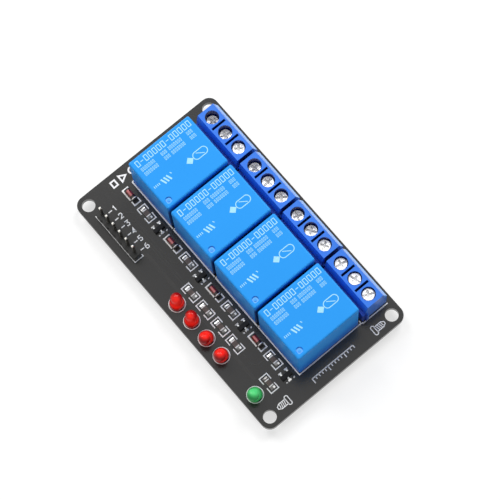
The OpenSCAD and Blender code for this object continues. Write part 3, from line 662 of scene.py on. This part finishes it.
# Painted highlight: a pale band along the upper front slope, where the white table is reflected.
painted_slope_highlight = housing.within("Y", block_high.y - 0.85 * MM, block_high.y + 0.2 * MM)
painted_slope_highlight *= housing.axis("Z", block_high.z - 3.8 * MM, block_high.z - 3.4 * MM)
housing_finish = housing.principled(
    Base_Color=housing.blend(painted_slope_highlight, blue, (0.14, 0.42, 0.95)), Roughness=0.25 + peel * 0.1,
    Specular_IOR_Level=0.3, Normal=housing.bump(peel, PEEL_UP))
dress(housing_finish, *each("terminal_body_%d", CHANNELS))


# ---- clamps ---------------------------------------------------------------------------
# In each pole a tinned steel cage holds a nickel-plated screw, which drives a guard plate
# down on the wire. The plating is bright, with fine turning marks round each screw's axis,
# and the deeper a screw was driven, the more the driver has polished it.

POLES = len(pole_x)
POLISH_PER_METRE = 90.0
dress(plated("cage_tin", (0.55, 0.54, 0.51), (0.78, 0.77, 0.73), 0.25, 0.25),
      "terminal_cages", *each("wire_guard_%d", POLES))
for number, name in enumerate(each("clamp_screw_%d", POLES), 1):
    low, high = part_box(name)
    bright = Look("screw_nickel_%d" % number)
    to_axis = (-(low.x + high.x) / 2, -(low.y + high.y) / 2, 0)
    axis = bright.node("ShaderNodeMapping", {}, {"Vector": bright.spot, "Location": to_axis})
    rings = bright.node("ShaderNodeTexWave", {"wave_type": "RINGS", "rings_direction": "Z"},
                        {"Vector": axis, "Scale": 2600.0, "Distortion": 2.0, "Detail": 2.0})
    smear, fleck = bright.noise(900.0), bright.noise(3200.0)
    polish = POLISH_PER_METRE * (block_high.z - high.z)
    dress(bright.principled(
        Base_Color=bright.blend(fleck * 4 - 1.1, (0.42, 0.39, 0.36), (1.0, 1.0, 0.99)),
        Metallic=0.8, Roughness=0.5 - polish + smear * 0.15,
        Normal=bright.bump(rings * 0.5 + smear * 0.5, 0.00003)), name)


# ---- pin header -----------------------------------------------------------------------
# A black moulded strip, notched between its six ways, with square tinned brass pins pressed through it.
# Both ends of each pin are cut to a blunt point. Below the upper point the pins are painted dark, a
# painted reflection of the dark board, so that only that point shows bright.

dress(moulded("header_black", (0.006, 0.006, 0.006), (0.014, 0.014, 0.013), 0.35, gloss=0.35),
      "header_strip")
pin_look = Look("pin_tin")
drawn = pin_look.noise(1200.0)
PIN_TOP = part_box("header_pins")[1].z
# Painted reflection: the tin is painted dark below the upper point.
painted_dark_shank = pin_look.blend(drawn, (0.16, 0.15, 0.13), (0.36, 0.34, 0.3))
point = pin_look.axis("Z", PIN_TOP - 0.9 * MM, PIN_TOP - 0.4 * MM)
dress(pin_look.principled(
    Base_Color=pin_look.blend(point, painted_dark_shank, (0.9, 0.88, 0.82)), Metallic=1.0,
    Roughness=0.2 + drawn * 0.15, Normal=pin_look.bump(drawn, 0.00002)), "header_pins")


# ---- lamps ----------------------------------------------------------------------------
# 3 mm light-emitting diodes of tinted, slightly milky epoxy, on tinned steel leads. They stand a little
# askew, as the soldering left them. Though unlit, they are given a painted glow inside and painted shade
# towards their edges.

def lens(name, foot_x, share, painted_shade_rim, painted_glow_core):
    """Tinted epoxy with a painted glow, brightest at this share of its leaning axis, and painted shade
    that darkens it with the distance from there, in which height counts for a quarter; with a wet shine
    over it."""
    look = Look(name)
    milk = look.noise(500.0)
    low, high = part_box(name)
    squeeze = Vector((1, 1, 0.25))
    foot = Vector((board_low.x + foot_x * MM, board_low.y + LAMP_Y * MM, low.z))
    glow = foot.lerp(low + high - foot, share) * squeeze
    squeezed = look.node("ShaderNodeVectorMath", {"operation": "MULTIPLY"},
                         {0: look.spot, 1: squeeze})
    away = look.node("ShaderNodeVectorMath", {"operation": "DISTANCE"},
                     {0: squeezed, 1: glow}, "Value")
    depth = look.node("ShaderNodeMapRange", {"interpolation_type": "SMOOTHSTEP"}, {
        "Value": away + (milk - 0.5) * 0.0005, "From Min": 0.0009, "From Max": 0.002})
    # Painted glow: the emission stands in for light scattered in the epoxy, and the rim tint is painted
    # shade.
    colour = look.blend(depth, painted_glow_core, painted_shade_rim)
    return look.principled(
        Base_Color=look.blend(0.4, colour, (0, 0, 0)), Roughness=0.16, Specular_IOR_Level=0.12,
        Coat_Weight=0.15, Coat_Roughness=0.04, Emission_Color=colour, Emission_Strength=0.7)


for name, x, share in zip(each("red_led_%d", CHANNELS), lamp_x, (0.1, 0.1, 0.42, 0.42)):
    dress(lens(name, x, share, (0.17, 0.002, 0.002), (0.95, 0.018, 0.009)), name)
dress(lens("green_led", lamp_x[-1], 0.45, (0.01, 0.17, 0.04), (0.08, 0.56, 0.17)), "green_led")
dress(tin_finish, "led_leads")


# ---- drivers --------------------------------------------------------------------------
# For each channel a reddish glass diode, a glazed chip resistor and a small black transistor, and a
# further resistor by each lamp, all soldered flat. The diode glass has a dark band at one end, a painted
# highlight along its middle and painted shade on its flanks; its tinned caps and the resistors' tinned
# ends are painted dark, a painted reflection of the board, with a painted glint ring on one diode cap. A
# strip of bare ceramic shows at both ends of each resistor's glaze.

def in_row(look, low, high, first_x, pitch, row_y, span=(-1.2, 1.2)):
    """1 from low to high millimetres past a part's centre, and 0 elsewhere: first_x is the first
    part's centre, pitch the step to the next one and row_y the row's height on the board."""
    along = board_low.x + (first_x + low) * MM, board_low.x + (first_x + high) * MM
    across = board_low.y + (row_y + span[0]) * MM, board_low.y + (row_y + span[1]) * MM
    return look.within("X", *along, pitch * MM) * look.within("Y", *across)


DIODES = channel_x[0] + DIODE_X, PITCH, DRIVER_Y
glass = Look("diode_glass_tint")
streak = glass.noise(1500.0)
# Painted highlight along the middle of the glass and painted shade on its flanks.
painted_shade_flanks = sum(in_row(glass, -1.4, 1.4, *DIODES, span=edge) for edge in ((-0.8, -0.35), (0.15, 0.8)))
glass_highlight_and_shade = glass.blend(painted_shade_flanks * 0.8 + streak * 0.2, (0.74, 0.21, 0.2), (0.14, 0.006, 0.005))
dark_end = in_row(glass, 0.5, 1.5, *DIODES)
dress(glass.principled(
    Base_Color=glass.blend(dark_end, glass_highlight_and_shade, (0.035, 0.012, 0.008)), Roughness=0.14,
    Coat_Weight=0.3, Coat_Roughness=0.04, Normal=glass.bump(streak, 0.00002)), "diode_glass")
capped = Look("diode_cap")
stain = capped.noise(2000.0)
# The tinned caps are painted near-black, a painted reflection of the dark board, with a painted glint
# ring where the right cap meets the glass.
painted_glint_ring = in_row(capped, 1.25, 1.5, *DIODES) * 0.9 + stain * 0.1
dress(capped.principled(
    Base_Color=capped.blend(painted_glint_ring, (0.012, 0.01, 0.012), (0.85, 0.83, 0.82)), Metallic=0.3,
    Roughness=0.35 + stain * 0.2, Specular_IOR_Level=0.3), "diode_caps")
dress(moulded("moulding_compound", (0.006, 0.006, 0.007), (0.014, 0.014, 0.015), 0.5, gloss=0.2),
      "transistor_bodies")
chip = Look("chip_glaze")
glaze = chip.noise(2600.0)
CHIP_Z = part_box("resistor_bodies")[1].z
glazed = chip.axis("Z", CHIP_Z - 0.08 * MM, CHIP_Z - 0.04 * MM)
glaze_tint = chip.blend(glaze, (0.02, 0.02, 0.022), (0.2, 0.15, 0.13))
dress(chip.principled(Base_Color=chip.blend(glazed, (0.6, 0.58, 0.54), glaze_tint),
                      Roughness=0.3 + glaze * 0.15, Specular_IOR_Level=0.3), "resistor_bodies")
end_metal = Look("resistor_end")
painted_reflection_mottle = end_metal.noise(2200.0)
# Painted reflection: the tinned ends are painted near-black, as they mirror the dark board, with a
# mottle.
dress(end_metal.principled(
    Base_Color=end_metal.blend(painted_reflection_mottle, (0.02, 0.02, 0.02), (0.14, 0.14, 0.13)), Metallic=0.8,
    Roughness=0.3 + painted_reflection_mottle * 0.2), "resistor_ends")
dress(tin_finish, "transistor_leads")
chip_top = (CHIP_Z - board_high.z) / MM
chips = [(x, CHIP_Y) for x in lamp_x] + [(x + DRIVER_R_X, DRIVER_Y) for x in channel_x]
edges = [bar([(x + off, y - 0.62), (x + off, y + 0.62)], 0.28, chip_top - 0.1, chip_top + 0.03)
         for x, y in chips for off in (-0.84, 0.84)]
ceramic = Look("bare_ceramic")
fired = ceramic.noise(3000.0)
ceramic_finish = ceramic.principled(
    Base_Color=ceramic.blend(fired, (0.75, 0.73, 0.7), (1.0, 0.98, 0.96)),
    Roughness=0.5 + fired * 0.2)
piece("chip_edges", edges, ceramic_finish)


# ---- solder ---------------------------------------------------------------------------
# Bright tin alloy, frozen with a slight ripple: a fillet at each chip end and lead, and a cone round
# each cut pin on the under face. Painted dark reflections darken most of the chips' fillets, and one
# fillet of each diode.

alloy = Look("bright_solder")
ripple, dull = alloy.noise(1100.0), alloy.noise(250.0)
ALONE = 1000.0
CHIP_ROWS = [(channel_x[0] + DRIVER_R_X, PITCH, DRIVER_Y),
             (lamp_x[0], lamp_x[1] - lamp_x[0], CHIP_Y), (lamp_x[-1], ALONE, CHIP_Y)]
# Painted reflection: most chip fillets and the right fillet of each diode are painted dark, as they
# mirror the dark surroundings.
painted_dark_reflection = sum(in_row(alloy, -1.36, 1.25, *row) + in_row(alloy, 1.25, 2.0, *row, span=(-1.2, 0.15))
             for row in CHIP_ROWS)
painted_reflection_share = painted_dark_reflection * (1.3 - ripple) + in_row(alloy, 1.0, 2.6, *DIODES)
clean = alloy.blend(dull, (0.74, 0.74, 0.74), (0.93, 0.93, 0.92))
dress(alloy.principled(Base_Color=alloy.blend(painted_reflection_share, clean, (0.05, 0.045, 0.04)), Metallic=1.0,
                       Roughness=0.2 + dull * 0.25, Normal=alloy.bump(ripple, 0.00012)), "solder_joints")
